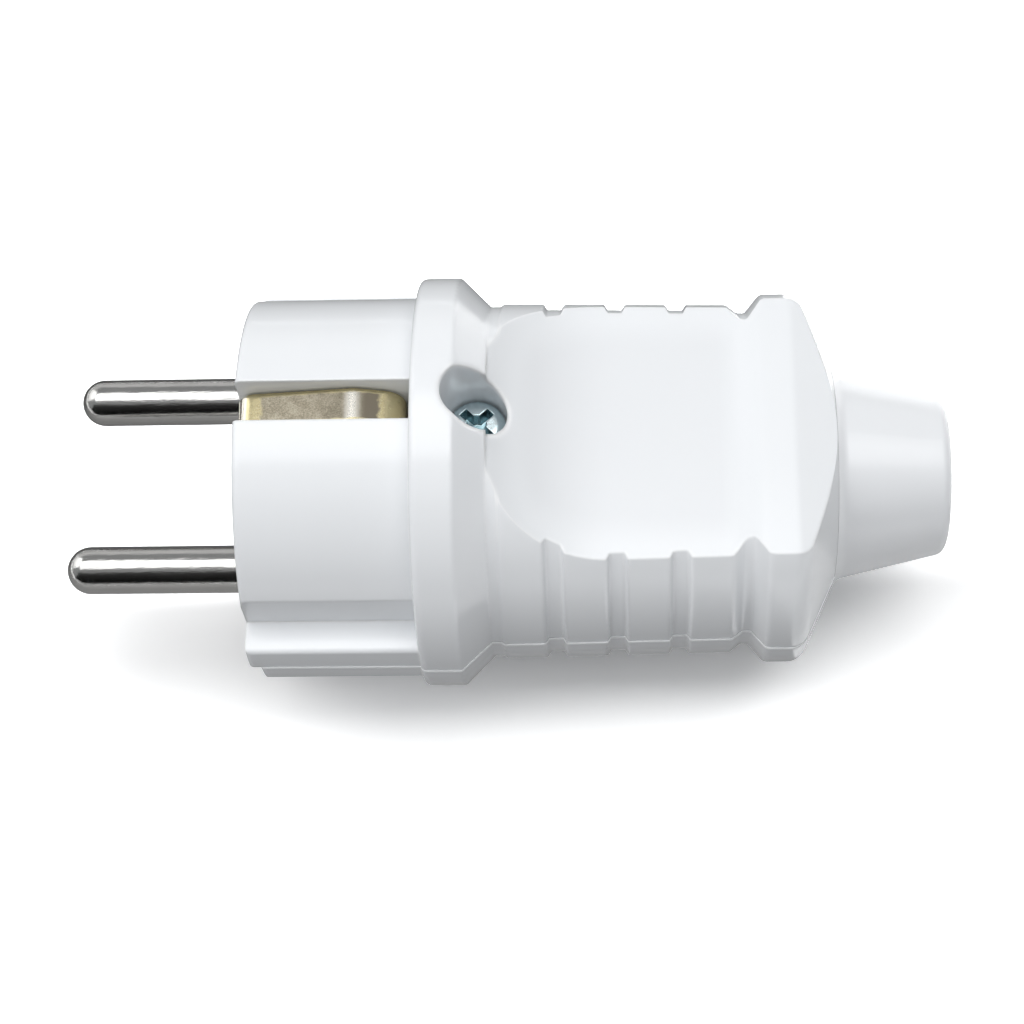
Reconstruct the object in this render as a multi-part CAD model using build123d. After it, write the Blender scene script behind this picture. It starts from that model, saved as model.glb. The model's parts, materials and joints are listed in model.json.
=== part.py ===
from build123d import *
import math
import os

# Grounded two-pin mains plug with side earth contacts, for wiring by hand. Millimetres, +Z up.
# It is modelled along its own axis and laid down on its flange and collar at the end:
# X = 0 is the front face of the insert, +X points to the cord, and the two shells meet at Z = 0.

# Pins
PIN_D = 4.8
PIN_SPACING = 19.0
PIN_LENGTH = 19.0
PIN_SEAT_D = 5.6            # thicker stretch inside the front wall
BLOCK = 7.0                 # side of the square terminal block behind each pin
BLOCK_LENGTH = 10.0
BLOCK_CHAMFER = 0.4
WIRE_HOLE_D = 3.2
WIRE_HOLE_DEPTH = 8.0

# Insert, the part that goes into the socket
INSERT_D = 37.2
INSERT_LENGTH = 17.0
INSERT_EDGE = 0.6
FLAT_DEPTH = 2.0            # side flats, below the round of the insert
GUIDE_RISE = 1.5            # guide ribs on those flats, above the round of the insert
GUIDE_WIDTH = 6.6
GUIDE_SETBACK = 1.1         # the lower shell's ribs start this far behind the front face
GUIDE_EDGE = 0.5
FRONT_WALL = 3.0
SLOT_WIDTH = 4.18           # earth slots, above and below

# Flange and grip
FLANGE_LIP = 2.0            # height over the insert
FLANGE_WIDTH = 4.1
FLANGE_EDGE = 0.7
SHOULDER_DROP = 2.7         # from the flange down to the first rib
SHOULDER_EDGE = 0.5
FOOT_WIDTH = 1.3            # narrow waist between the flange's shoulder and the first rib
FOOT_DEPTH = 0.25
GRIP_TAPER = 0.4            # drop from the first rib to the last
RIB_COUNT = 4
RIB_PITCH = 6.1
GROOVE_WIDTH = 2.1
GROOVE_DEPTH = 0.55
GROOVE_FLANK = 0.35
RIB_EDGE = 0.2
FINE_EDGE = 0.12
DIP_DEPTH = 0.85            # groove in front of the collar, below the last rib
DIP_WIDTH = 0.8
DIP_FLANK = 1.1
DIP_RISE = 1.5
DIP_EDGE = 0.5
COLLAR_RISE = 1.0           # height over the last rib
COLLAR_WIDTH = 3.6
COLLAR_FRONT_EDGE = 0.8
COLLAR_REAR_EDGE = 2.0
TAIL_LENGTH = 3.4           # steep rear slope of the collar
WALL = 2.1
SEAM_STEP = 0.15            # how far the lower shell stands proud of the upper one at the seam
REST_FLAT = 0.4             # depth of the small flats under flange and collar that the plug lies on

# Thumb scoop in the upper shell
SCOOP_LEDGE = 0.1           # behind the foot of the shoulder
SCOOP_DEPTH = 6.35          # floor below the top of the last rib
SCOOP_REACH = 11.9          # length of the hollow round from the ledge to the floor
SCOOP_ROUND = 16.0
SCOOP_RISE = 2.8
SCOOP_RISE_ROUND = 3.0
SCOOP_LIP = 0.5             # the rise ends this far in front of the collar
COLLAR_STEP = 1.15          # flat on the collar above the scoop's floor
FLAT_MARGIN = 0.8           # the flat breaks this far in front of the collar's rear edge
FLAT_FALL = 1.3             # and falls this much to the end of the body

# Housing screw and nut
SCREW_D = 3.0
SCREW_LENGTH = 25.0
SCREW_HEAD_D = 5.8
SCREW_HEAD_H = 2.1
SCREW_HEAD_ROUND = 1.2
SCREW_SEAT_SINK = 0.4       # seat under the head below the scoop's floor
SCREW_BEHIND_FLANGE = 6.0   # from the flange's front face to the screw's axis
SCREW_TURN = 45.0
CROSS_SPAN = 3.9
CROSS_WIDTH = 0.95
CROSS_DEPTH = 1.6
CROSS_CORE_D = 2.0
CROSS_TAPER = 9.0           # degrees, of the recess's walls
BOSS_D = 9.2
NUT_WIDTH = 5.5
NUT_H = 2.4
NUT_TIP = 0.4               # screw tip showing past the nut

# Earth strip: one bent strip with an outer contact above and below and a lug between
STRIP_WIDTH = 3.9
STRIP_T = 0.8
STRIP_FRONT = 0.0           # from the insert's front face
STRIP_SINK = 1.2            # crest below the round of the insert
STRIP_RISE = 1.2            # from the front bend up to the crest
STRIP_FALL = 1.1            # from the crest down to the rear bend
STRIP_HOOK = 3.0            # length of the hook in front
STRIP_CREST_X = 11.4
STRIP_BACK = 0.7            # from the flange's front face
STRIP_BENDS = (1.8, 2.0, 2.6)
STRIP_EDGE = 0.45           # rolled outer edges
WEB_WIDTH = 10.0
WEB_HEIGHT = 17.0
LUG_WIDTH = 5.6
LUG_LENGTH = 7.4
LUG_WINDOW = 6.0
LUG_SCREW = 2.6             # from the lug's free end to its screw

# Terminal screws
TERM_SHANK_D = 2.8
TERM_LENGTH = 4.0
TERM_HEAD_D = 5.2
TERM_HEAD_H = 1.8
TERM_SLOT = 0.8

# Cord clamp and cord sleeve
SLEEVE_BORE_D = 10.0
CLAMP_GAP = 0.95            # to the rear wall of the wiring chamber
CLAMP_SIZE = (7.0, 24.0, 3.2)
CLAMP_SEAT = 0.8
CLAMP_RIDGE = 0.8
CLAMP_SPREAD = 18.0
CLAMP_SCREW_LENGTH = 10.0
POST_D = 6.0
SADDLE_WIDTH = 3.0
SADDLE_TOP = 8.0            # below the seam
THROAT = 2.8                # wall between the wiring chamber and the groove before the collar
SLEEVE_BASE_D = 21.0
SLEEVE_TAPER = 2.65         # from the base down to the end
SLEEVE_FLARE = 0.45         # flared front edge above the base
SLEEVE_FLARE_LENGTH = 0.6
SLEEVE_FLARE_ROUND = 1.6
SLEEVE_STEP = 1.1           # neck below the base
SLEEVE_LIP = 1.5            # flange above the neck
SLEEVE_FLANGE_T = 2.4
SLEEVE_FLANGE_BACK = 0.3    # behind the collar's front
SLEEVE_LENGTH = 11.4        # outside the body
SLEEVE_EDGE = 1.2

# Clearances
FIT = 0.05                  # between pieces that locate each other
EASY = 0.2                  # round pieces that drop into a pocket
HAIR = 0.02                 # where the sleeve meets the body

# Sizes and places that follow
PIN_R = PIN_D / 2
PIN_Y = PIN_SPACING / 2
INSERT_R = INSERT_D / 2
FLAT_Y = INSERT_R - FLAT_DEPTH
GUIDE_R = INSERT_R + GUIDE_RISE
FLANGE_R = INSERT_R + FLANGE_LIP
FLANGE_REAR = INSERT_LENGTH + FLANGE_WIDTH
GRIP_R = FLANGE_R - SHOULDER_DROP
GRIP_REAR_R = GRIP_R - GRIP_TAPER
FOOT_R = GRIP_R - FOOT_DEPTH
FOOT_X = FLANGE_REAR + FLANGE_R - FOOT_R
GRIP_X = FOOT_X + FOOT_WIDTH
GRIP_END = GRIP_X + RIB_COUNT * RIB_PITCH - GROOVE_WIDTH
DIP_R = GRIP_REAR_R - DIP_DEPTH
DIP_X = GRIP_END + DIP_FLANK
COLLAR_R = GRIP_REAR_R + COLLAR_RISE
COLLAR_X = DIP_X + DIP_WIDTH + DIP_RISE
COLLAR_REAR = COLLAR_X + COLLAR_WIDTH
BODY_END = COLLAR_REAR + TAIL_LENGTH
SCOOP_X = FOOT_X + SCOOP_LEDGE
SCOOP_FLOOR = GRIP_REAR_R - SCOOP_DEPTH
COLLAR_FLAT = SCOOP_FLOOR + COLLAR_STEP
SCREW_X = INSERT_LENGTH + SCREW_BEHIND_FLANGE
SCREW_WELL_D = SCREW_HEAD_D + 2 * EASY
SCREW_SEAT = SCOOP_FLOOR - SCREW_SEAT_SINK
NUT_SEAT = SCREW_SEAT - SCREW_LENGTH + NUT_TIP + NUT_H
STRIP_CREST_R = INSERT_R - STRIP_SINK
STRIP_FRONT_R = STRIP_CREST_R - STRIP_RISE
STRIP_REAR_R = STRIP_CREST_R - STRIP_FALL
STRIP_HOOK_R = STRIP_FRONT_R - STRIP_HOOK
SLOT_FLOOR = STRIP_HOOK_R - EASY
STRIP_X = INSERT_LENGTH - STRIP_BACK
WEB_X = STRIP_X - STRIP_T
CHAMBER_X = INSERT_LENGTH + STRIP_BACK
CHAMBER_END = DIP_X - THROAT
CHAMBER_R = GRIP_REAR_R - GROOVE_DEPTH - WALL
BLOCK_X = FRONT_WALL + FIT
BLOCK_REAR = BLOCK_X + BLOCK_LENGTH
TERM_X = BLOCK_X + BLOCK_LENGTH / 2
LUG_END = WEB_X - LUG_LENGTH
LUG_SCREW_X = LUG_END + LUG_SCREW
CLAMP_X = CHAMBER_END - CLAMP_GAP - CLAMP_SIZE[0] / 2
CLAMP_Y = CLAMP_SPREAD / 2
SLEEVE_R = SLEEVE_BASE_D / 2
SLEEVE_X = BODY_END + HAIR
SLEEVE_TIP = BODY_END + SLEEVE_LENGTH
SLEEVE_END_R = SLEEVE_R - SLEEVE_TAPER
SLEEVE_NECK_R = SLEEVE_R - SLEEVE_STEP
SLEEVE_FLANGE_R = SLEEVE_NECK_R + SLEEVE_LIP
SLEEVE_FLANGE_X = COLLAR_X + SLEEVE_FLANGE_BACK
TAIL_R = SLEEVE_R + SLEEVE_FLARE
BIG = 200.0


def span_box(x, y, z):
    """Box from three (low, high) ranges."""
    centre = [(low + high) / 2 for low, high in (x, y, z)]
    size = [high - low for low, high in (x, y, z)]
    return Pos(*centre) * Box(*size)


def post(x, y, d, z_low, z_high):
    """Upright cylinder."""
    return Pos(x, y, (z_low + z_high) / 2) * Cylinder(d / 2, z_high - z_low)


def rod(y, d, x_low, x_high):
    """Cylinder along the plug's axis direction, at height 0."""
    return Pos((x_low + x_high) / 2, y, 0) * Rot(Y=90) * Cylinder(d / 2, x_high - x_low)


def turned(points):
    """Solid of revolution about the plug's axis from (x, radius, corner rounding) points."""
    outline = FilletPolyline(*[(x, r) for x, r, _ in points], radius=[e for _, _, e in points[1:-1]])
    face = make_face(Plane.XZ * (outline + Line(outline @ 1, outline @ 0)))
    return revolve(face, Axis.X)


def grip_radius(x):
    """Radius over the ribs, which taper a little towards the cord."""
    return GRIP_R - GRIP_TAPER * (x - GRIP_X) / (GRIP_END - GRIP_X)


def body_of_revolution(grow):
    """Outer form of the body without flats, slots and scoop; grow is added to every radius."""
    points = [
        (0, 0, 0),
        (0, INSERT_R, INSERT_EDGE),
        (INSERT_LENGTH, INSERT_R, FINE_EDGE),
        (INSERT_LENGTH, FLANGE_R, FLANGE_EDGE),
        (FLANGE_REAR, FLANGE_R, SHOULDER_EDGE),
        (FOOT_X, FOOT_R, FINE_EDGE),
        (GRIP_X - GROOVE_FLANK, FOOT_R, FINE_EDGE),
    ]
    for i in range(RIB_COUNT):
        start = GRIP_X + i * RIB_PITCH
        end = start + RIB_PITCH - GROOVE_WIDTH
        points.append((start, grip_radius(start), RIB_EDGE))
        if i < RIB_COUNT - 1:
            points.append((end, grip_radius(end), RIB_EDGE))
            points.append((end + GROOVE_FLANK, grip_radius(end) - GROOVE_DEPTH, FINE_EDGE))
            next_start = end + GROOVE_WIDTH - GROOVE_FLANK
            points.append((next_start, grip_radius(next_start) - GROOVE_DEPTH, FINE_EDGE))
    points += [
        (GRIP_END, GRIP_REAR_R, DIP_EDGE),
        (DIP_X, DIP_R, DIP_EDGE),
        (DIP_X + DIP_WIDTH, DIP_R, DIP_EDGE),
        (COLLAR_X, COLLAR_R, COLLAR_FRONT_EDGE),
        (COLLAR_REAR, COLLAR_R, COLLAR_REAR_EDGE),
        (BODY_END, TAIL_R, 0),
        (BODY_END, 0, 0),
    ]
    return turned([(x, r + grow if r else 0, e) for x, r, e in points])


def guide_rib(side, start, grow):
    """Rib along the middle of one side flat, round like the insert, from start back to the flange."""
    rib = rod(0, 2 * (GUIDE_R + grow), start, INSERT_LENGTH + FLANGE_EDGE)
    reach = sorted((side * (FLAT_Y - WALL), side * BIG))
    rib &= span_box((start, BIG), reach, (-GUIDE_WIDTH / 2, GUIDE_WIDTH / 2))
    outer = rib.faces().filter_by(GeomType.CYLINDER)[0]
    return fillet(outer.edges(), GUIDE_EDGE)


def socket_face(body, grow, guide_start):
    """Side flats, guide ribs and earth slots of the insert."""
    for side in (-1, 1):
        flat = sorted((side * (FLAT_Y + grow), side * BIG))
        body -= span_box((-1, INSERT_LENGTH), flat, (-BIG, BIG))
        body += guide_rib(side, guide_start, grow)
        body -= span_box(
            (-1, INSERT_LENGTH),
            (-SLOT_WIDTH / 2, SLOT_WIDTH / 2),
            sorted((side * SLOT_FLOOR, side * BIG)),
        )
    return body


def thumb_scoop():
    """Cutter for the scoop in the grip and the flat it leaves on the collar."""
    lip_x = COLLAR_X - SCOOP_LIP
    flat_end = COLLAR_FLAT - FLAT_FALL
    round_end = SCOOP_X + SCOOP_REACH
    centre_z = SCOOP_FLOOR + SCOOP_ROUND
    ledge_z = centre_z - math.sqrt(SCOOP_ROUND**2 - SCOOP_REACH**2)
    hollow = RadiusArc((SCOOP_X, ledge_z), (round_end, SCOOP_FLOOR), -SCOOP_ROUND)
    run_out = FilletPolyline(
        (round_end, SCOOP_FLOOR),
        (lip_x - SCOOP_RISE, SCOOP_FLOOR),
        (lip_x, COLLAR_FLAT),
        (COLLAR_REAR - FLAT_MARGIN, COLLAR_FLAT),
        (BODY_END, flat_end),
        radius=[SCOOP_RISE_ROUND, SCOOP_RISE_ROUND, COLLAR_REAR_EDGE],
    )
    above = 2 * FLANGE_R
    rim = Polyline((BODY_END, flat_end), (BODY_END, above), (SCOOP_X, above), (SCOOP_X, ledge_z))
    face = make_face(Plane.XZ * (hollow + run_out + rim))
    return extrude(face, above, both=True)


def pin_pockets():
    """Room for the pins, their terminal blocks, the wires and the terminal screws."""
    room = Part()
    half = BLOCK / 2 + FIT
    wire = WIRE_HOLE_D / 2 + EASY
    head_top = BLOCK / 2 + TERM_HEAD_H + EASY
    for y in (-PIN_Y, PIN_Y):
        room += rod(y, PIN_SEAT_D + 2 * FIT, -1, BLOCK_X)
        room += span_box((FRONT_WALL, BLOCK_REAR + FIT), (y - half, y + half), (-half, half))
        room += span_box((BLOCK_X, CHAMBER_X + 1), (y - wire, y + wire), (-wire, wire))
        room += post(TERM_X, y, TERM_HEAD_D + 2 * EASY, 0, head_top)
    return room


def earth_pocket():
    """Room for the earth strip's web and lug, its screw and its wire."""
    lug_half = LUG_WIDTH / 2 + EASY
    screw_room = TERM_LENGTH + EASY
    web_half = WEB_WIDTH / 2 + EASY
    web_top = WEB_HEIGHT / 2 + EASY
    slot = SLOT_WIDTH / 2
    room = span_box((LUG_END - EASY, WEB_X), (-lug_half, lug_half), (-screw_room, screw_room))
    room += span_box((WEB_X - EASY, STRIP_X + FIT), (-web_half, web_half), (-web_top, web_top))
    room += span_box((WEB_X - EASY, INSERT_LENGTH), (-slot, slot), (-SLOT_FLOOR - 1, SLOT_FLOOR + 1))
    window = LUG_WINDOW - EASY
    room += span_box((WEB_X, CHAMBER_X + 1), (-lug_half + STRIP_T, lug_half - STRIP_T), (0, window))
    return room


def wiring_chamber(ceiling):
    """Hollow of the grip, up to the given ceiling, round the screw boss."""
    chamber = rod(0, 2 * CHAMBER_R, CHAMBER_X, CHAMBER_END)
    chamber &= span_box((0, BIG), (-BIG, BIG), (-BIG, ceiling))
    return chamber - post(SCREW_X, 0, BOSS_D, -BIG, BIG)


def sleeve_seat():
    """Way out for the cord and the groove that holds the sleeve's flange."""
    seat = rod(0, SLEEVE_BORE_D + 2 * EASY, CHAMBER_END - 1, SLEEVE_FLANGE_X)
    groove_end = SLEEVE_FLANGE_X + SLEEVE_FLANGE_T + FIT
    seat += rod(0, 2 * (SLEEVE_FLANGE_R + FIT), SLEEVE_FLANGE_X - FIT, groove_end)
    seat += rod(0, 2 * (SLEEVE_NECK_R + FIT), SLEEVE_FLANGE_X, BODY_END + 1)
    return seat


def clamp_base():
    """Posts and saddle in the lower shell that the cord clamp is screwed to."""
    base = span_box(
        (CLAMP_X - SADDLE_WIDTH / 2, CLAMP_X + SADDLE_WIDTH / 2),
        (-CLAMP_Y, CLAMP_Y),
        (-CHAMBER_R - WALL, -SADDLE_TOP),
    )
    for y in (-CLAMP_Y, CLAMP_Y):
        base += post(CLAMP_X, y, POST_D, -CHAMBER_R, CLAMP_SEAT - FIT)
    return base & rod(0, 2 * CHAMBER_R + WALL, CHAMBER_X, CHAMBER_END)


def clamp_screw_holes():
    """Holes for the two clamp screws."""
    tip = CLAMP_SEAT + CLAMP_SIZE[2] - CLAMP_SCREW_LENGTH - EASY
    holes = Part()
    for y in (-CLAMP_Y, CLAMP_Y):
        holes += post(CLAMP_X, y, SCREW_D + 2 * FIT, tip, BIG / 10)
    return holes


def upper_shell():
    body = body_of_revolution(0) & span_box((-1, BIG), (-BIG, BIG), (0, BIG))
    body = socket_face(body, 0, 0) & span_box((-1, BIG), (-BIG, BIG), (0, BIG))
    body -= thumb_scoop()
    body -= wiring_chamber(SCOOP_FLOOR - WALL)
    body -= pin_pockets()
    body -= earth_pocket()
    body -= sleeve_seat()
    body -= post(SCREW_X, 0, SCREW_WELL_D, SCREW_SEAT, BIG)
    body -= post(SCREW_X, 0, SCREW_D + 2 * EASY, -1, SCREW_SEAT)
    return body


def lower_shell():
    body = body_of_revolution(SEAM_STEP) & span_box((-1, BIG), (-BIG, BIG), (-BIG, 0))
    body = socket_face(body, SEAM_STEP, GUIDE_SETBACK) & span_box((-1, BIG), (-BIG, BIG), (-BIG, 0))
    body -= wiring_chamber(0)
    body += clamp_base()
    body -= clamp_screw_holes()
    body -= pin_pockets()
    body -= earth_pocket()
    body -= sleeve_seat()
    body -= post(SCREW_X, 0, SCREW_D + 2 * EASY, -BIG, 1)
    hexagon = RegularPolygon((NUT_WIDTH + 2 * FIT) / 2, 6, major_radius=False)
    body -= Pos(SCREW_X, 0, NUT_SEAT) * extrude(hexagon, -BIG)
    ground = span_box((-BIG, BIG), (-BIG, BIG), (-BIG, 0))
    return body - lying_down().inverse() * ground


def contact_pin(y):
    """Round pin and square terminal block in one piece."""
    round_end = -PIN_LENGTH + PIN_R
    shank = rod(y, PIN_D, round_end, BLOCK_X) + Pos(round_end, y, 0) * Sphere(PIN_R)
    shank += rod(y, PIN_SEAT_D, 0, BLOCK_X + BLOCK_CHAMFER)
    half = BLOCK / 2
    block = span_box((BLOCK_X, BLOCK_REAR), (y - half, y + half), (-half, half))
    block = chamfer(block.edges(), BLOCK_CHAMFER)
    block -= rod(y, WIRE_HOLE_D, BLOCK_REAR - WIRE_HOLE_DEPTH, BLOCK_REAR + 1)
    block -= post(TERM_X, y, TERM_SHANK_D + 2 * FIT, 0, BLOCK)
    return shank + block


def earth_strip():
    """Strip bent to a C with rolled outer edges, a wide web in the middle and a lug lanced out of it."""
    top = [
        (STRIP_FRONT, STRIP_HOOK_R),
        (STRIP_FRONT, STRIP_FRONT_R),
        (STRIP_CREST_X, STRIP_CREST_R),
        (STRIP_X, STRIP_REAR_R),
    ]
    bottom = [(x, -z) for x, z in reversed(top)]
    bends = STRIP_BENDS + STRIP_BENDS[::-1]
    outer = FilletPolyline(*(top + bottom), radius=list(bends))
    inner = offset(outer, STRIP_T, side=Side.RIGHT)
    strip = extrude(make_face(Plane.XZ * (outer + inner)), STRIP_WIDTH / 2, both=True)
    face_line = Plane.XZ * outer
    rolled = []
    for edge in strip.edges():
        middle = edge @ 0.5
        on_face = face_line.distance_to(Vertex(middle.X, 0, middle.Z)) < FIT
        if on_face and abs(abs(middle.Y) - STRIP_WIDTH / 2) < FIT:
            rolled.append(edge)
    strip = fillet(rolled, STRIP_EDGE)
    web_y = WEB_WIDTH / 2
    web_z = WEB_HEIGHT / 2
    strip += span_box((WEB_X, STRIP_X), (-web_y, web_y), (-web_z, web_z))
    lug_y = LUG_WIDTH / 2
    strip -= span_box((WEB_X - 1, STRIP_X + 1), (-lug_y, lug_y), (0, LUG_WINDOW))
    strip += span_box((LUG_END, STRIP_X), (-lug_y, lug_y), (-STRIP_T, 0))
    strip -= post(LUG_SCREW_X, 0, TERM_SHANK_D + 2 * FIT, -STRIP_T - 1, 1)
    return strip


def slotted_screw(head_d, head_h, shank_d, length, slot):
    """Cheese-head screw, underside of the head at Z = 0."""
    head = Cylinder(head_d / 2, head_h, align=(Align.CENTER, Align.CENTER, Align.MIN))
    head = fillet(head.edges().group_by(Axis.Z)[-1], head_h / 4)
    shank = Cylinder(shank_d / 2, length, align=(Align.CENTER, Align.CENTER, Align.MAX))
    screw = head + shank
    return screw - Pos(0, 0, head_h) * Box(head_d + 1, slot, head_h)


def terminal_screws():
    """The three like screws of the pins and the earth lug, as one group."""
    screw = slotted_screw(TERM_HEAD_D, TERM_HEAD_H, TERM_SHANK_D, TERM_LENGTH, TERM_SLOT)
    places = [(TERM_X, -PIN_Y, BLOCK / 2), (TERM_X, PIN_Y, BLOCK / 2), (LUG_SCREW_X, 0, 0)]
    return [Pos(*place) * screw for place in places]


def housing_screw():
    """Pan-head screw with a cross recess that closes the two shells."""
    head = Cylinder(SCREW_HEAD_D / 2, SCREW_HEAD_H, align=(Align.CENTER, Align.CENTER, Align.MIN))
    head = fillet(head.edges().group_by(Axis.Z)[-1], SCREW_HEAD_ROUND)
    cross = extrude(Rectangle(CROSS_SPAN, CROSS_WIDTH), -CROSS_DEPTH, taper=CROSS_TAPER)
    cross += extrude(Rectangle(CROSS_WIDTH, CROSS_SPAN), -CROSS_DEPTH, taper=CROSS_TAPER)
    cross += extrude(Circle(CROSS_CORE_D / 2), -CROSS_DEPTH, taper=CROSS_TAPER)
    cross = Pos(0, 0, SCREW_HEAD_H) * cross
    shank = Cylinder(SCREW_D / 2, SCREW_LENGTH, align=(Align.CENTER, Align.CENTER, Align.MAX))
    return Pos(SCREW_X, 0, SCREW_SEAT) * Rot(Z=SCREW_TURN) * (head + shank - cross)


def housing_nut():
    hexagon = RegularPolygon(NUT_WIDTH / 2, 6, major_radius=False)
    nut = extrude(hexagon, -NUT_H) - Cylinder(SCREW_D / 2 + FIT, 4 * NUT_H)
    return Pos(SCREW_X, 0, NUT_SEAT) * nut


def cord_clamp():
    """Flat bar with two ridges that press on the cord."""
    length, width, thick = CLAMP_SIZE
    bar = Box(length, width, thick, align=(Align.CENTER, Align.CENTER, Align.MIN))
    bar = fillet(bar.edges().filter_by(Axis.Z), length / 4)
    for x in (-length / 4, length / 4):
        ridge = Pos(x, 0, 0) * Rot(X=90) * Cylinder(CLAMP_RIDGE, SLEEVE_BORE_D)
        bar += ridge
    bar = Pos(CLAMP_X, 0, CLAMP_SEAT) * bar
    return bar - clamp_screw_holes()


def clamp_screws():
    screw = slotted_screw(TERM_HEAD_D, TERM_HEAD_H, SCREW_D, CLAMP_SCREW_LENGTH, TERM_SLOT)
    top = CLAMP_SEAT + CLAMP_SIZE[2]
    return [Pos(CLAMP_X, y, top) * screw for y in (-CLAMP_Y, CLAMP_Y)]


def cord_sleeve():
    """Tapered sleeve round the cord, held by its flange between the shells."""
    flange_end = SLEEVE_FLANGE_X + SLEEVE_FLANGE_T
    flare_end = SLEEVE_X + SLEEVE_FLARE_LENGTH
    flare_r = SLEEVE_R - SLEEVE_TAPER * SLEEVE_FLARE_LENGTH / SLEEVE_LENGTH
    sleeve = turned([
        (SLEEVE_FLANGE_X, 0, 0),
        (SLEEVE_FLANGE_X, SLEEVE_FLANGE_R, FINE_EDGE),
        (flange_end, SLEEVE_FLANGE_R, FINE_EDGE),
        (flange_end, SLEEVE_NECK_R, 0),
        (SLEEVE_X, SLEEVE_NECK_R, 0),
        (SLEEVE_X, TAIL_R, 0),
        (flare_end, flare_r, SLEEVE_FLARE_ROUND),
        (SLEEVE_TIP, SLEEVE_END_R, SLEEVE_EDGE),
        (SLEEVE_TIP, 0, 0),
    ])
    return sleeve - rod(0, SLEEVE_BORE_D, SLEEVE_FLANGE_X - 1, SLEEVE_TIP + 1)


def lying_down():
    """Place of the plug at rest: the flats under flange and collar lie on the surface at Z = 0."""
    flange_x = FLANGE_REAR - SHOULDER_EDGE * math.tan(math.radians(45) / 2)
    flange_r = FLANGE_R + SEAM_STEP - SHOULDER_EDGE
    slope = math.atan2(COLLAR_R - TAIL_R, TAIL_LENGTH)
    collar_x = COLLAR_REAR - COLLAR_REAR_EDGE * math.tan(slope / 2)
    collar_r = COLLAR_R + SEAM_STEP - COLLAR_REAR_EDGE
    apart = math.hypot(collar_x - flange_x, flange_r - collar_r)
    tilt = math.atan2(flange_r - collar_r, collar_x - flange_x)
    tilt += math.asin((SHOULDER_EDGE - COLLAR_REAR_EDGE) / apart)
    lift = flange_x * math.sin(tilt) + flange_r * math.cos(tilt) + SHOULDER_EDGE - REST_FLAT
    tip = -(PIN_LENGTH - PIN_R) * math.cos(tilt) - PIN_R
    end_r = SLEEVE_END_R - SLEEVE_EDGE
    end = (SLEEVE_TIP - SLEEVE_EDGE) * math.cos(tilt) + end_r * math.sin(tilt) + SLEEVE_EDGE
    return Pos(-(tip + end) / 2, 0, lift) * Rot(Y=math.degrees(tilt))


NODES = {
    "upper_shell": upper_shell(),
    "lower_shell": lower_shell(),
    "left_pin": contact_pin(-PIN_Y),
    "right_pin": contact_pin(PIN_Y),
    "earth_strip": earth_strip(),
    "terminal_screws": terminal_screws(),
    "housing_screw": housing_screw(),
    "housing_nut": housing_nut(),
    "cord_clamp": cord_clamp(),
    "clamp_screws": clamp_screws(),
    "cord_sleeve": cord_sleeve(),
}

os.makedirs("parts", exist_ok=True)
rest = lying_down()
for name, shape in NODES.items():
    pieces = shape if isinstance(shape, list) else [shape]
    laid = [rest * piece for piece in pieces]
    export_step(Compound(laid) if len(laid) > 1 else laid[0], f"parts/{name}.step")
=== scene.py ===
import json
import math

import bpy
from mathutils import Matrix, Vector

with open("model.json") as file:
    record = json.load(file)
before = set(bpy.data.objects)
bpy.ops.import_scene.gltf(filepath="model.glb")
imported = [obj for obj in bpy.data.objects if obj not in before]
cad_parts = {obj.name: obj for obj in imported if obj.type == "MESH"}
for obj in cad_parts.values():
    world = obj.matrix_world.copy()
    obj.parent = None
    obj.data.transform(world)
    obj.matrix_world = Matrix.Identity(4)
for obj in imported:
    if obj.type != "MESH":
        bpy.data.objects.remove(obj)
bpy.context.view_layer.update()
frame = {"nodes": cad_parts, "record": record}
scene = bpy.context.scene
nodes = frame["nodes"]
MM = 0.001

# Where the plug's own axes lie: x = 0 on the front face of the insert, +x towards the cord, z = 0 on the seam
PIN_WALL = 16.6 * MM
mounts = {mount["name"]: mount for mount in frame["record"]["mounts"]}
left_pin_at = Vector(mounts["left_pin_shank"]["pos_m"])
right_pin_at = Vector(mounts["right_pin_shank"]["pos_m"])
along = -Vector(mounts["left_pin_shank"]["axis"]).normalized()
across = (right_pin_at - left_pin_at).normalized()
front_face = (left_pin_at + right_pin_at) / 2 + along * PIN_WALL / 2
plug_turn = Matrix((along, across, along.cross(across))).transposed()
plug_axes = Matrix.Translation(front_face) @ plug_turn.to_4x4()
dip = math.atan2(-along.z, along.x)

# Places on the plug that the finishes follow, in millimetres along those axes
SCREW_X = 23.0
SCREW_TOP = 12.85
RECESS_R = 2.0
RECESS_DEPTH = 1.8
WELL_R = 4.0
WELL_LOW = 10.0
LEDGE_X = (23.5, 25.2)
LEDGE_LOW = 12.0
SCOOP_X = (29.0, 46.5)
SCOOP_BORDER = 2.5
SCOOP_LOW = 10.6
SCOOP_R = 16.7
BODY_END = 58.05
FRONT_BEND_X = (0.15, 0.75)
WORN_X = (2.6, 13.6)
WORN_Y = 1.55
WORN_LOW = 15.2
# Where painted shade darkens the worn flat before the crest
SHADE_BEFORE_CREST_X = (7.0, 10.4)
CREST_X = 11.3
CREST_BACK = 12.7

# Rounding of the edges
HOUSING_EDGE = 0.45 * MM
WELL_EDGE = 1.0 * MM
SLEEVE_EDGE = 0.3 * MM
CLAMP_EDGE = 0.2 * MM
PIN_EDGE = 0.1 * MM
SCREW_EDGE = 0.15 * MM
STRIP_EDGE = 0.15 * MM

# Gloss of the finishes, as roughness
HOUSING_GLOSS = 0.17
SCOOP_GLOSS = 0.235
SLEEVE_GLOSS = 0.24
CLAMP_GLOSS = 0.4
PIN_GLOSS = 0.165
SCREW_GLOSS = 0.24
STRIP_GLOSS = 0.26
UNEVENNESS = 0.04
PLASTIC_IOR = 1.5

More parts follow.
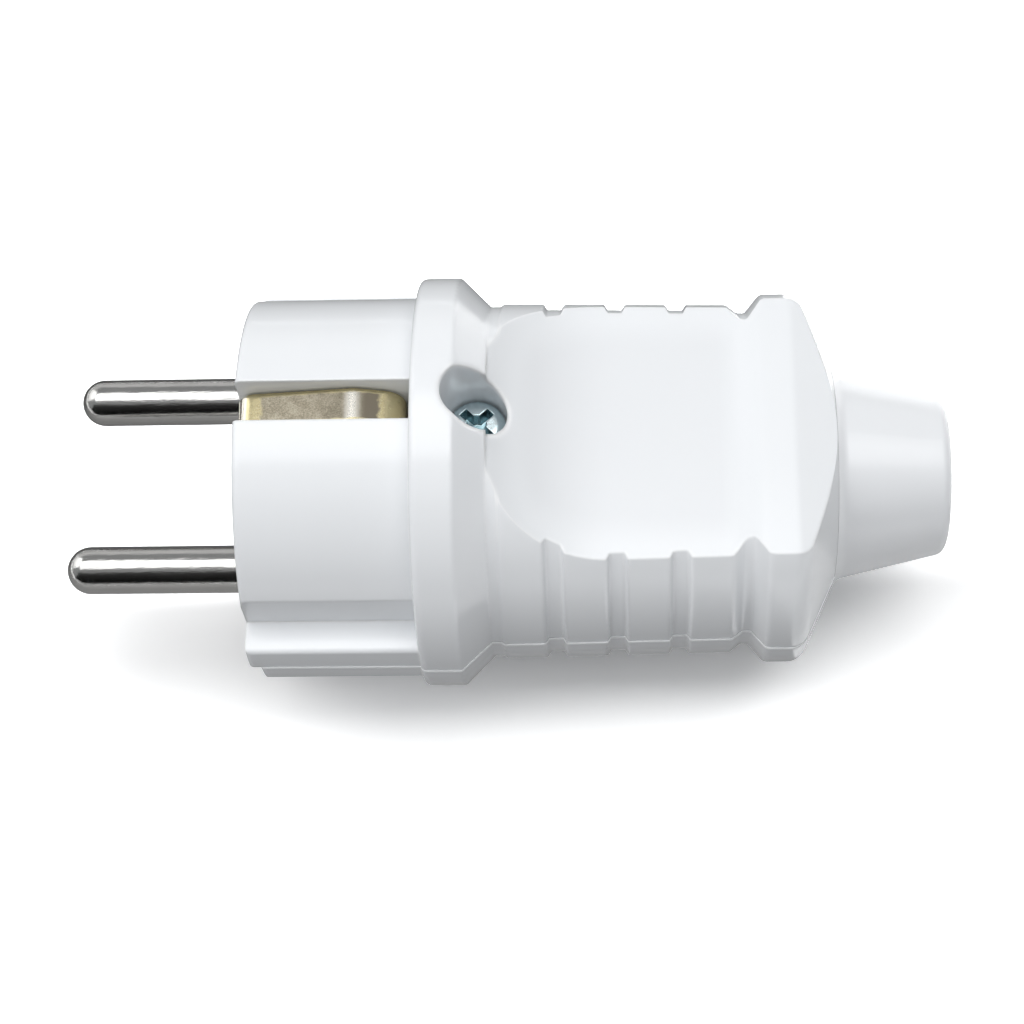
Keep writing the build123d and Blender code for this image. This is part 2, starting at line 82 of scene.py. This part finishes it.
# Colours of the finishes; a pair is blended by its cloudiness
HOUSING_WHITES = ((0.845, 0.864, 0.884), (0.865, 0.884, 0.904))
# Painted shade: a darker white over the thumb scoop, toning down how brightly it is lit
SCOOP_SHADED_WHITE = (0.805, 0.822, 0.842)
# Painted highlight: near-white blended onto the housing's rounded edges
EDGE_HIGHLIGHT_WHITE = (0.965, 0.975, 0.98)
EDGE_HIGHLIGHT_SHARE = 0.8
SLEEVE_WHITES = ((0.83, 0.846, 0.866), (0.85, 0.866, 0.886))
CLAMP_WHITES = ((0.80, 0.81, 0.82), (0.84, 0.85, 0.86))
NICKELS = ((0.54, 0.535, 0.52), (0.61, 0.605, 0.59))
ZINCS = ((0.56, 0.67, 0.70), (0.72, 0.82, 0.84))
# Painted shade down in the screw's cross recess
RECESS_SHADE_ZINC = (0.38, 0.50, 0.53)
BRASSES = ((0.50, 0.44, 0.25), (0.66, 0.58, 0.36))
# Painted highlight on the strip's bend in front
BEND_HIGHLIGHT_BRASS = (0.93, 0.90, 0.80)
SCUFFS = ((0.215, 0.19, 0.141), (0.46, 0.42, 0.33))
# Painted shade on the worn flat: before the crest, and on the slope behind it
SHADE_BEFORE_CREST = (0.13, 0.115, 0.085)
SHADE_BEHIND_CREST = (0.17, 0.15, 0.115)
# Painted highlight on the strip's crest
CREST_HIGHLIGHT = (0.80, 0.78, 0.72)
PAPERS = ((0.24, 0.24, 0.243), (0.26, 0.26, 0.263))
STUDIO_AIR = (0.97, 0.985, 1.0)
STUDIO_FILL = 0.34

# Tones that the floor shows in the picture, and where each begins and ends, in metres: painted shadow, lower
# where the cast shadow is painted darker and higher where it is painted lighter
FLOOR_BESIDE = 1.4
FLOOR_BY_PINS = 1.04
FLOOR_UNDER_BODY = 1.27
FLOOR_IN_FRONT = 1.71
FLOOR_BEHIND = 2.3
PIN_SHADOW_X = ((-0.058, -0.040), (-0.02, 0.0))
BODY_SHADOW_X = ((-0.026, -0.012), (0.022, 0.036))
FRONT_Y = (-0.0095, -0.021)
BEHIND_Y = (-0.005, 0.0)

# Camera, read off the photograph's perspective, on the plug's axes
CAMERA_LENS = 85.46
CAMERA_AT = (37.252, -106.387, 223.462)
CAMERA_RIGHT = Vector((0.99886767, 0.00878924, -0.04675598))
CAMERA_UP = Vector((0.01155523, 0.90853597, 0.41764682))
CAMERA_BACK = Vector((0.04615029, -0.41771418, 0.90740565))


def set_camera():
    data = bpy.data.cameras.new("photo_camera")
    data.lens = CAMERA_LENS
    data.sensor_width = 36
    data.clip_start = 0.01
    data.clip_end = 20
    camera = bpy.data.objects.new("photo_camera", data)
    scene.collection.objects.link(camera)
    turn = Matrix((CAMERA_RIGHT, CAMERA_UP, CAMERA_BACK)).transposed().to_4x4()
    place = Matrix.Translation(Vector(CAMERA_AT) * MM) @ turn
    camera.matrix_world = plug_axes @ place
    scene.camera = camera


def grey(tone):
    return (tone, tone, tone)


class Graph:
    """Short hand for laying out one node tree."""

    def __init__(self, tree):
        self.tree = tree

    def node(self, kind, **settings):
        made = self.tree.nodes.new(kind)
        for name, value in settings.items():
            setattr(made, name, value)
        return made

    def feed(self, socket, value):
        """Links an output to the socket, or sets a number or colour on it."""
        if isinstance(value, (int, float)):
            socket.default_value = value
        elif isinstance(value, tuple):
            socket.default_value = (*value, 1.0)
        else:
            self.tree.links.new(value, socket)

    def math(self, operation, first, second=None, clamp=False):
        made = self.node("ShaderNodeMath", operation=operation, use_clamp=clamp)
        self.feed(made.inputs[0], first)
        if second is not None:
            self.feed(made.inputs[1], second)
        return made.outputs[0]

    def product(self, *values):
        result = values[0]
        for value in values[1:]:
            result = self.math("MULTIPLY", result, value)
        return result

    def noise(self, vector, scale, detail=2.0, roughness=0.5):
        made = self.node("ShaderNodeTexNoise")
        made.inputs["Scale"].default_value = scale
        made.inputs["Detail"].default_value = detail
        made.inputs["Roughness"].default_value = roughness
        self.feed(made.inputs["Vector"], vector)
        return made.outputs["Fac"]

    def ramp(self, value, low, high, to_low=0.0, to_high=1.0):
        """Smooth step of the value from low to high."""
        made = self.node("ShaderNodeMapRange", interpolation_type="SMOOTHSTEP")
        for name, number in (("From Min", low), ("From Max", high), ("To Min", to_low), ("To Max", to_high)):
            made.inputs[name].default_value = number
        self.feed(made.inputs["Value"], value)
        return made.outputs["Result"]

    def within(self, value, rise, fall):
        """1 between the rise and the fall, and 0 outside them."""
        return self.product(self.ramp(value, *rise), self.ramp(value, fall[1], fall[0]))

    def between(self, value, low, high, soft):
        """1 between low and high, falling to 0 over the soft width."""
        return self.within(value, (low - soft, low), (high, high + soft))

    def blend(self, factor, first, second):
        made = self.node("ShaderNodeMix", data_type="RGBA")
        for socket, value in zip((made.inputs[0], made.inputs[6], made.inputs[7]), (factor, first, second)):
            self.feed(socket, value)
        return made.outputs[2]

    def stretch(self, vector, factors):
        made = self.node("ShaderNodeVectorMath", operation="MULTIPLY")
        made.inputs[1].default_value = factors
        self.feed(made.inputs[0], vector)
        return made.outputs[0]

    def axes(self, vector):
        made = self.node("ShaderNodeSeparateXYZ")
        self.feed(made.inputs[0], vector)
        return made.outputs["X"], made.outputs["Y"], made.outputs["Z"]

    def round_of(self, first, second):
        """Distance from the axis that the two values are measured from."""
        squares = self.math("ADD", self.math("POWER", first, 2.0), self.math("POWER", second, 2.0))
        return self.math("SQRT", squares)

    def object_position(self):
        return self.node("ShaderNodeTexCoord").outputs["Object"]

    def plug_position(self):
        """Object coordinates turned into the plug's own axes, in millimetres."""
        turn = self.node("ShaderNodeMapping", vector_type="TEXTURE")
        turn.inputs["Location"].default_value = front_face
        turn.inputs["Rotation"].default_value = (0, dip, 0)
        turn.inputs["Scale"].default_value = (MM, MM, MM)
        self.feed(turn.inputs["Vector"], self.object_position())
        return turn.outputs["Vector"]

    def soft_edges(self, radius):
        made = self.node("ShaderNodeBevel", samples=8)
        self.feed(made.inputs["Radius"], radius)
        return made.outputs[0]

    def edge_share(self, soft_normal):
        """1 on edges and 0 on open faces, by how far the softened normal turns from the face's own."""
        geometry = self.node("ShaderNodeNewGeometry")
        likeness = self.node("ShaderNodeVectorMath", operation="DOT_PRODUCT")
        self.feed(likeness.inputs[0], soft_normal)
        self.feed(likeness.inputs[1], geometry.outputs["Normal"])
        return self.ramp(self.math("SUBTRACT", 1.0, likeness.outputs["Value"]), 0.005, 0.10)

    def bump(self, normal, height, strength, distance):
        made = self.node("ShaderNodeBump")
        made.inputs["Strength"].default_value = strength
        made.inputs["Distance"].default_value = distance
        self.feed(made.inputs["Height"], height)
        self.feed(made.inputs["Normal"], normal)
        return made.outputs[0]


def bare_material(name):
    material = bpy.data.materials.new(name)
    material.use_nodes = True
    material.node_tree.nodes.clear()
    graph = Graph(material.node_tree)
    return material, graph, graph.node("ShaderNodeOutputMaterial")


def new_material(name, **constants):
    """Material with one shader, whose constants are set on its own sockets."""
    material, graph, output = bare_material(name)
    shader = graph.node("ShaderNodeBsdfPrincipled")
    for socket, value in constants.items():
        shader.inputs[socket].default_value = value
    graph.feed(output.inputs["Surface"], shader.outputs[0])
    return material, graph, shader


def give_surface(graph, shader, colour, roughness, normal):
    graph.feed(shader.inputs["Base Color"], colour)
    graph.feed(shader.inputs["Roughness"], roughness)
    graph.feed(shader.inputs["Normal"], normal)


def new_group(name, values, outputs):
    """Node group that takes a position and named numbers, and puts out named numbers."""
    tree = bpy.data.node_groups.new(name, "ShaderNodeTree")
    tree.interface.new_socket("Position", in_out="INPUT", socket_type="NodeSocketVector")
    for label, value in values.items():
        socket = tree.interface.new_socket(label, in_out="INPUT", socket_type="NodeSocketFloat")
        socket.default_value = value
    for label in outputs:
        tree.interface.new_socket(label, in_out="OUTPUT", socket_type="NodeSocketFloat")
    graph = Graph(tree)
    return tree, graph, graph.node("NodeGroupInput"), graph.node("NodeGroupOutput")


def moulded_skin_group():
    """Skin of a moulded plastic: faint cloudiness of colour and gloss and a fine unevenness."""
    values = {"Gloss": 0.2, "Unevenness": UNEVENNESS}
    tree, graph, source, result = new_group("moulded_skin", values, ("Cloud", "Roughness", "Height"))
    position = source.outputs["Position"]
    cloud = graph.noise(position, scale=0.09, detail=3.0)
    fine = graph.noise(position, scale=5.5)
    swing = graph.product(graph.math("SUBTRACT", cloud, 0.5), source.outputs["Unevenness"])
    rough = graph.math("ADD", source.outputs["Gloss"], swing, clamp=True)
    graph.feed(result.inputs["Cloud"], cloud)
    graph.feed(result.inputs["Roughness"], rough)
    graph.feed(result.inputs["Height"], fine)
    return tree


def drawn_metal_group():
    """Plated metal: fine streaks along the plug and a slow change of tone."""
    values = {"Gloss": 0.15, "Streak": 0.1}
    tree, graph, source, result = new_group("drawn_metal", values, ("Tone", "Roughness", "Height"))
    position = source.outputs["Position"]
    drawn_out = graph.stretch(position, (0.22, 1.5, 1.5))
    streak = graph.noise(drawn_out, scale=2.4, detail=3.0, roughness=0.6)
    tone = graph.noise(position, scale=0.35)
    swing = graph.product(graph.math("SUBTRACT", streak, 0.5), source.outputs["Streak"])
    rough = graph.math("ADD", source.outputs["Gloss"], swing, clamp=True)
    graph.feed(result.inputs["Tone"], tone)
    graph.feed(result.inputs["Roughness"], rough)
    graph.feed(result.inputs["Height"], streak)
    return tree


moulded_skin = moulded_skin_group()
drawn_metal = drawn_metal_group()


def place_group(graph, tree, position, **values):
    made = graph.node("ShaderNodeGroup")
    made.node_tree = tree
    graph.feed(made.inputs["Position"], position)
    for name, value in values.items():
        graph.feed(made.inputs[name], value)
    return made.outputs


def from_screw_axis(graph, x, y):
    return graph.round_of(graph.math("SUBTRACT", x, SCREW_X), y)


def white_plastic(name, whites, gloss, edge):
    """White moulding, with softly rounded edges on what stands out of the housing."""
    material, graph, shader = new_material(name, IOR=PLASTIC_IOR)
    position = graph.plug_position()
    x = graph.axes(position)[0]
    skin = place_group(graph, moulded_skin, position, Gloss=gloss, Unevenness=UNEVENNESS)
    colour = graph.blend(skin["Cloud"], *whites)
    rounded = graph.soft_edges(graph.ramp(x, BODY_END + 0.3, BODY_END + 1.0, 0.0, edge))
    normal = graph.bump(rounded, skin["Height"], strength=0.05, distance=0.01 * MM)
    give_surface(graph, shader, colour, skin["Roughness"], normal)
    return material


def housing_white():
    """The shells' plastic: glossy outside, finely grained in the thumb scoop, softest round the screw well;
    painted highlights lighten its edges and painted shade darkens the scoop.
    """
    material, graph, shader = new_material("housing_white", IOR=PLASTIC_IOR)
    position = graph.plug_position()
    x, y, z = graph.axes(position)
    in_scoop = graph.product(
        graph.between(x, *SCOOP_X, SCOOP_BORDER),
        graph.ramp(z, SCOOP_LOW, SCOOP_LOW + 0.4),
        graph.ramp(graph.round_of(y, z), SCOOP_R + 0.3, SCOOP_R - SCOOP_BORDER),
    )
    near_screw = graph.ramp(from_screw_axis(graph, x, y), WELL_R + 1.0, WELL_R)
    at_well = graph.product(near_screw, graph.ramp(z, WELL_LOW, WELL_LOW + 1.5))
    at_ledge = graph.product(graph.between(x, *LEDGE_X, 0.4), graph.ramp(z, LEDGE_LOW, LEDGE_LOW + 1.5))
    softest = graph.math("MAXIMUM", at_well, at_ledge)
    edge = graph.ramp(softest, 0.0, 1.0, HOUSING_EDGE, WELL_EDGE)
    clear_of_sleeve = graph.ramp(x, BODY_END - 0.5, BODY_END - 1.2)
    rounded = graph.soft_edges(graph.product(edge, clear_of_sleeve))
    gloss = graph.ramp(in_scoop, 0.0, 1.0, HOUSING_GLOSS, SCOOP_GLOSS)
    skin = place_group(graph, moulded_skin, position, Gloss=gloss, Unevenness=UNEVENNESS)
    colour = graph.blend(skin["Cloud"], *HOUSING_WHITES)
    # Painted shade: the scoop takes the darker white
    colour = graph.blend(in_scoop, colour, SCOOP_SHADED_WHITE)
    # Painted highlight: edges lightened towards near-white where the softened normal turns away from the face
    colour = graph.blend(graph.product(graph.edge_share(rounded), EDGE_HIGHLIGHT_SHARE), colour, EDGE_HIGHLIGHT_WHITE)
    grain = graph.product(graph.noise(position, scale=7.0), in_scoop, 2.0)
    height = graph.math("ADD", skin["Height"], grain)
    normal = graph.bump(rounded, height, strength=0.06, distance=0.01 * MM)
    give_surface(graph, shader, colour, skin["Roughness"], normal)
    return material


def pin_nickel():
    """Nickel-plated pins, brushed lengthwise."""
    material, graph, shader = new_material("pin_nickel", Metallic=1.0)
    metal = place_group(graph, drawn_metal, graph.plug_position(), Gloss=PIN_GLOSS, Streak=0.12)
    colour = graph.blend(metal["Tone"], *NICKELS)
    normal = graph.bump(graph.soft_edges(PIN_EDGE), metal["Height"], strength=0.35, distance=0.05 * MM)
    give_surface(graph, shader, colour, metal["Roughness"], normal)
    return material


def screw_zinc():
    """Blue zinc plate on screws and nut, with painted shade down in the cross recess."""
    material, graph, shader = new_material("screw_zinc", Metallic=1.0)
    position = graph.plug_position()
    x, y, z = graph.axes(position)
    recess_low = SCREW_TOP - RECESS_DEPTH
    # Painted shade: the zinc is darkened down in the cross recess, where shade falls
    recess = graph.product(
        graph.ramp(from_screw_axis(graph, x, y), RECESS_R + 0.15, RECESS_R),
        graph.ramp(z, SCREW_TOP - 0.12, SCREW_TOP - 0.4),
        graph.ramp(z, recess_low - 0.2, recess_low),
    )
    metal = place_group(graph, drawn_metal, position, Gloss=SCREW_GLOSS, Streak=0.1)
    colour = graph.blend(recess, graph.blend(metal["Tone"], *ZINCS), RECESS_SHADE_ZINC)
    normal = graph.bump(graph.soft_edges(SCREW_EDGE), metal["Height"], strength=0.15, distance=0.02 * MM)
    give_surface(graph, shader, colour, metal["Roughness"], normal)
    return material


def strip_brass():
    """Brass earth strip, its plating worn grey by scuffing on the flat of each contact, with a painted
    highlight on the front bend and on the crest and painted shade before and behind the crest.
    """
    material, graph, shader = new_material("strip_brass", Metallic=1.0)
    position = graph.plug_position()
    x, y, z = graph.axes(position)
    metal = place_group(graph, drawn_metal, position, Gloss=STRIP_GLOSS, Streak=0.1)
    speck = graph.noise(graph.stretch(position, (1.0, 1.6, 1.0)), scale=6.5, detail=3.0, roughness=0.7)
    blotch = graph.noise(position, scale=0.8, detail=3.0, roughness=0.6)

    # Plating, with a painted highlight on the bend in front
    front_bend = graph.between(x, *FRONT_BEND_X, 0.35)
    plated = graph.blend(metal["Tone"], *BRASSES)
    # Painted highlight: near-white brass on the front bend
    plated = graph.blend(graph.product(front_bend, 0.9), plated, BEND_HIGHLIGHT_BRASS)

    # Flat worn by scuffing, with painted shade towards the crest and behind it, and a painted highlight on the
    # crest
    shade = graph.math("ADD", graph.product(speck, 0.65), graph.product(blotch, 0.35))
    scuff_and_painted_light = graph.blend(graph.ramp(shade, 0.36, 0.66), *SCUFFS)
    # Painted shade: darker before the crest and on the slope behind it
    scuff_and_painted_light = graph.blend(graph.ramp(x, *SHADE_BEFORE_CREST_X, 0.0, 0.35), scuff_and_painted_light, SHADE_BEFORE_CREST)
    scuff_and_painted_light = graph.blend(graph.between(x, CREST_BACK, WORN_X[1], 0.8), scuff_and_painted_light, SHADE_BEHIND_CREST)
    # Painted highlight along the crest
    crest = graph.between(x, CREST_X - 0.05, CREST_X + 0.05, 1.0)
    scuff_and_painted_light = graph.blend(graph.product(crest, 0.85), scuff_and_painted_light, CREST_HIGHLIGHT)

    # Ragged border of the scuffing
    ragged = graph.product(graph.math("SUBTRACT", blotch, 0.5), 1.6)
    length = graph.math("ADD", x, ragged)
    width = graph.math("ADD", graph.math("ABSOLUTE", y), graph.product(ragged, 0.25))
    worn = graph.product(
        graph.between(length, *WORN_X, 0.5),
        graph.ramp(width, WORN_Y, WORN_Y - 0.3),
        graph.ramp(graph.math("ABSOLUTE", z), WORN_LOW, WORN_LOW + 0.4),
    )
    dulled = graph.product(worn, graph.ramp(crest, 0.0, 1.0, 0.14, 0.0))
    dulled = graph.math("SUBTRACT", dulled, graph.product(front_bend, 0.08))
    roughness = graph.math("ADD", metal["Roughness"], dulled)
    normal = graph.bump(
        graph.soft_edges(STRIP_EDGE), graph.product(speck, worn), strength=0.3, distance=0.02 * MM
    )
    give_surface(graph, shader, graph.blend(worn, plated, scuff_and_painted_light), roughness, normal)
    return material


def dress(material, *names):
    for name in names:
        node = nodes[name]
        node.data.materials.clear()
        node.data.materials.append(material)


def plain_sheet(name, at, aim, size):
    """Flat rectangle facing its aim, for the studio."""
    bpy.ops.object.select_all(action="DESELECT")
    bpy.ops.mesh.primitive_plane_add(size=1.0)
    sheet = bpy.context.object
    sheet.name = name
    turn = (Vector(aim) - Vector(at)).to_track_quat("Z", "Y").to_matrix().to_4x4()
    sheet.data.transform(Matrix.Translation(at) @ turn @ Matrix.Diagonal((*size, 1, 1)))
    return sheet


def lay_floor():
    """Pale floor that photographs white, as if lit to just past white, and keeps the soft shadow, whose depth
    is painted by place through the floor's tones.
    """
    floor = plain_sheet("studio_floor", (0, 0, 0), (0, 0, 1), (8, 8))
    material, graph, output = bare_material("pale_floor")
    position = graph.object_position()
    x, y, _ = graph.axes(position)
    path = graph.node("ShaderNodeLightPath")
    seen = graph.math("MAXIMUM", path.outputs["Is Camera Ray"], path.outputs["Is Glossy Ray"])
    seen = graph.math("MAXIMUM", seen, path.outputs["Is Transmission Ray"])
    paper = graph.node("ShaderNodeBsdfDiffuse")
    graph.feed(paper.inputs["Color"], graph.blend(graph.noise(position, scale=3.0), *PAPERS))
    white = graph.node("ShaderNodeBsdfDiffuse")
    # Painted shadow: the floor's tone changes by place, darker by the pins and under the body, lighter in
    # front and behind
    tone = graph.blend(graph.within(x, *PIN_SHADOW_X), grey(FLOOR_BESIDE), grey(FLOOR_BY_PINS))
    tone = graph.blend(graph.within(x, *BODY_SHADOW_X), tone, grey(FLOOR_UNDER_BODY))
    tone = graph.blend(graph.ramp(y, *FRONT_Y), tone, grey(FLOOR_IN_FRONT))
    tone = graph.blend(graph.ramp(y, *BEHIND_Y), tone, grey(FLOOR_BEHIND))
    graph.feed(white.inputs["Color"], tone)
    mix = graph.node("ShaderNodeMixShader")
    graph.feed(mix.inputs[0], seen)
    graph.feed(mix.inputs[1], paper.outputs[0])
    graph.feed(mix.inputs[2], white.outputs[0])
    graph.feed(output.inputs["Surface"], mix.outputs[0])
    floor.data.materials.append(material)


def hang_card(name, at, aim, size, axis, tones):
    """Glowing card that only shows in reflections, a painted reflection of light or shade; its tone changes
    along one axis through (place, tone) pairs.
    """
    card = plain_sheet(name, at, aim, size)
    material, graph, output = bare_material(name)
    position = graph.object_position()
    place = graph.axes(position)["XYZ".index(axis)]
    tone = grey(tones[0][1])
    for (low, _), (high, after) in zip(tones, tones[1:]):
        tone = graph.blend(graph.ramp(place, low, high), tone, grey(after))
    glow = graph.node("ShaderNodeEmission")
    cloud = graph.noise(position, scale=6.0)
    graph.feed(glow.inputs["Color"], tone)
    graph.feed(glow.inputs["Strength"], graph.ramp(cloud, 0.3, 0.7, 0.92, 1.0))
    graph.feed(output.inputs["Surface"], glow.outputs[0])
    card.data.materials.append(material)
    card.visible_camera = False
    card.visible_diffuse = False
    card.visible_shadow = False
    card.visible_transmission = False


def soft_box(name, at, aim, size, brightness, in_reflections=True):
    """Rectangular lamp whose face has the given brightness."""
    data = bpy.data.lights.new(name, "AREA")
    data.shape = "RECTANGLE"
    data.size, data.size_y = size
    data.energy = brightness * math.pi * size[0] * size[1]
    lamp = bpy.data.objects.new(name, data)
    scene.collection.objects.link(lamp)
    lamp.location = at
    lamp.rotation_mode = "QUATERNION"
    lamp.rotation_quaternion = (Vector(aim) - Vector(at)).to_track_quat("-Z", "Y")
    lamp.visible_glossy = in_reflections


def fill_air():
    """Faint even light from all around."""
    world = bpy.data.worlds.new("studio")
    scene.world = world
    world.use_nodes = True
    world.node_tree.nodes.clear()
    graph = Graph(world.node_tree)
    fill = graph.node("ShaderNodeBackground")
    graph.feed(fill.inputs["Color"], STUDIO_AIR)
    graph.feed(fill.inputs["Strength"], STUDIO_FILL)
    output = graph.node("ShaderNodeOutputWorld")
    graph.feed(output.inputs["Surface"], fill.outputs[0])


def light_studio():
    plug = (0, 0, 0)
    soft_box("overhead_softbox", (0, 0.075, 0.7), (0, 0.075, 0), (1.3, 0.44), 2.52)
    soft_box("front_fill", (-0.45, -0.5, 0.5), plug, (1.0, 0.5), 0.5, in_reflections=False)
    soft_box("back_fill", (0.4, 0.6, 0.5), plug, (1.0, 0.5), 0.36, in_reflections=False)
    soft_box("left_fill", (-0.75, 0, 0.5), plug, (0.8, 0.5), 0.55, in_reflections=False)
    # Painted reflections: a dark card in front, a bright one on the left, a grey one behind, and the floor
    # with its shadow darker near the plug
    hang_card(
        "front_card", (0, -1.2, 0.95), (0, 0, 0.95), (5.0, 1.9), "Z",
        [(0.3, 0.006), (1.2, 0.03), (1.85, 0.10)],
    )
    hang_card(
        "left_card", (-1.1, 0.5, 0.6), (0, 0, 0.1), (0.9, 0.9), "Z",
        [(0.2, 1.4), (0.9, 2.2)],
    )
    hang_card(
        "back_card", (0, 1.2, 0.42), (0, 0, 0.42), (5.0, 0.62), "Z",
        [(0.1, 0.6), (0.3, 0.75)],
    )
    hang_card(
        "floor_reflection_card", (-0.12, 0, 0.0002), (-0.12, 0, 1.0), (0.3, 0.8), "Y",
        [(-0.11, 0.52), (-0.03, 0.36), (0.03, 0.16)],
    )


dress(housing_white(), "upper_shell", "lower_shell")
dress(white_plastic("sleeve_white", SLEEVE_WHITES, SLEEVE_GLOSS, SLEEVE_EDGE), "cord_sleeve")
dress(white_plastic("clamp_white", CLAMP_WHITES, CLAMP_GLOSS, CLAMP_EDGE), "cord_clamp")
dress(pin_nickel(), "left_pin", "right_pin")
dress(screw_zinc(), "housing_screw", "housing_nut", "terminal_screws", "clamp_screws")
dress(strip_brass(), "earth_strip")
lay_floor()
fill_air()
light_studio()
set_camera()
scene.view_settings.view_transform = "Standard"
